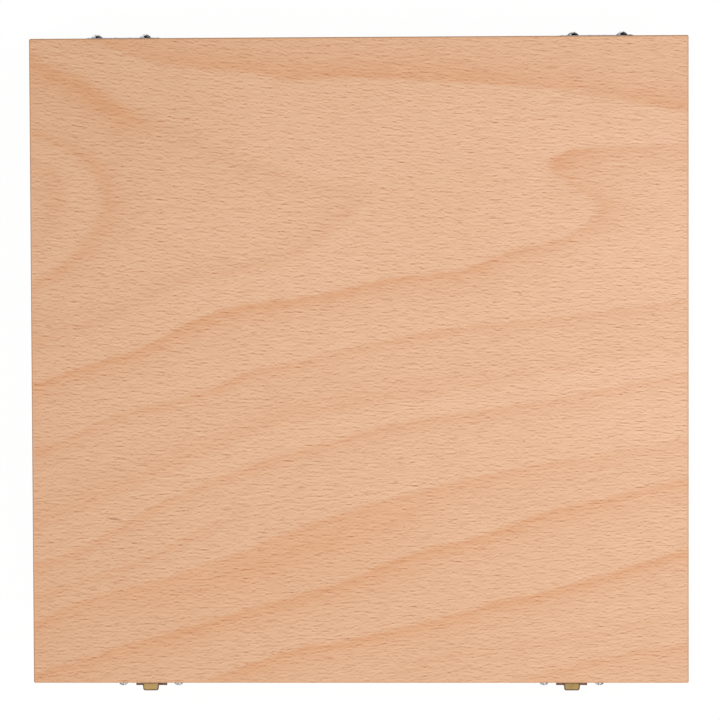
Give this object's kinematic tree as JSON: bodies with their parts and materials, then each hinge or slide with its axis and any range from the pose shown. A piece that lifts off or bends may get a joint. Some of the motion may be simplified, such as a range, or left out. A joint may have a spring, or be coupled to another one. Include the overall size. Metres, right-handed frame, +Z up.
{
  "type": "wooden paint box",
  "caption": "Flat, nearly square wooden paint box: finger-jointed walls, hinged lid on slotted stays, lever clasps, and lapped dividers for tubes and brushes.",
  "frame": {"origin": "centre of the underside, on the surface that the box stands on", "axes": "+Z up; +X along the hinge line, to the right seen from the front; +Y from the clasps at the front to the hinges at the back"},
  "size_m": [0.295, 0.2975, 0.0764],
  "materials": {
    "beech": "solid beech, clear satin lacquer",
    "beech_veneer": "flat-sawn beech veneer on plywood, clear satin lacquer",
    "plywood": "pale plywood, sanded",
    "nickel": "bright nickel plate",
    "antique_brass": "antique brass plate, darkened in the recesses",
    "brass": "satin brass plate"
  },
  "bodies": {
    "base": {"base_front": "beech", "base_back": "beech", "base_left": "beech", "base_right": "beech", "base_bottom": "plywood", "brush_divider": "plywood", "cross_divider": "plywood", "tube_divider_left": "plywood", "tube_divider_middle": "plywood", "tube_divider_right": "plywood", "hinge_base_leaf_left": "nickel", "hinge_base_leaf_right": "nickel", "hinge_pin_left": "nickel", "hinge_pin_right": "nickel", "hinge_base_screws": "nickel", "clasp_keeper_left": "antique_brass", "clasp_keeper_right": "antique_brass", "clasp_pin_left": "antique_brass", "clasp_pin_right": "antique_brass", "clasp_base_screws": "nickel", "stay_guide_screws": "brass", "stay_guide_washers": "brass"},
    "lid": {"lid_front": "beech", "lid_back": "beech", "lid_left": "beech", "lid_right": "beech", "lid_panel": "beech_veneer", "hinge_lid_leaf_left": "nickel", "hinge_lid_leaf_right": "nickel", "hinge_lid_screws": "nickel", "clasp_strike_left": "antique_brass", "clasp_strike_right": "antique_brass", "clasp_lid_screws": "nickel", "stay_pivot_screws": "brass", "stay_pivot_washers": "brass"},
    "clasp_left": {"clasp_lever_left": "antique_brass"},
    "clasp_right": {"clasp_lever_right": "antique_brass"},
    "stay_left": {"stay_arm_left": "brass"},
    "stay_right": {"stay_arm_right": "brass"}
  },
  "joints": [
    {"name": "lid_hinge", "type": "hinge", "parent": "base", "child": "lid", "pos_m": [0, 0.1451, 0.0542], "axis": [-1, 0, 0], "range_deg": [0, 100]},
    {"name": "clasp_left_pivot", "type": "hinge", "parent": "base", "child": "clasp_left", "pos_m": [-0.0955, -0.14775, 0.0432], "axis": [1, 0, 0], "range_deg": [0, 170]},
    {"name": "clasp_right_pivot", "type": "hinge", "parent": "base", "child": "clasp_right", "pos_m": [0.0955, -0.14775, 0.0432], "axis": [1, 0, 0], "range_deg": [0, 170]},
    {"name": "stay_left_pivot", "type": "hinge", "parent": "lid", "child": "stay_left", "pos_m": [-0.1378, 0.11779, 0.0607], "axis": [1, 0, 0], "range_deg": [0, 50]},
    {"name": "stay_right_pivot", "type": "hinge", "parent": "lid", "child": "stay_right", "pos_m": [0.1378, 0.11779, 0.0607], "axis": [1, 0, 0], "range_deg": [0, 50]}
  ],
  "couplings": [
    {"joint": "stay_left_pivot", "follows": "lid_hinge", "ratio": 0.5},
    {"joint": "stay_right_pivot", "follows": "lid_hinge", "ratio": 0.5}
  ]
}
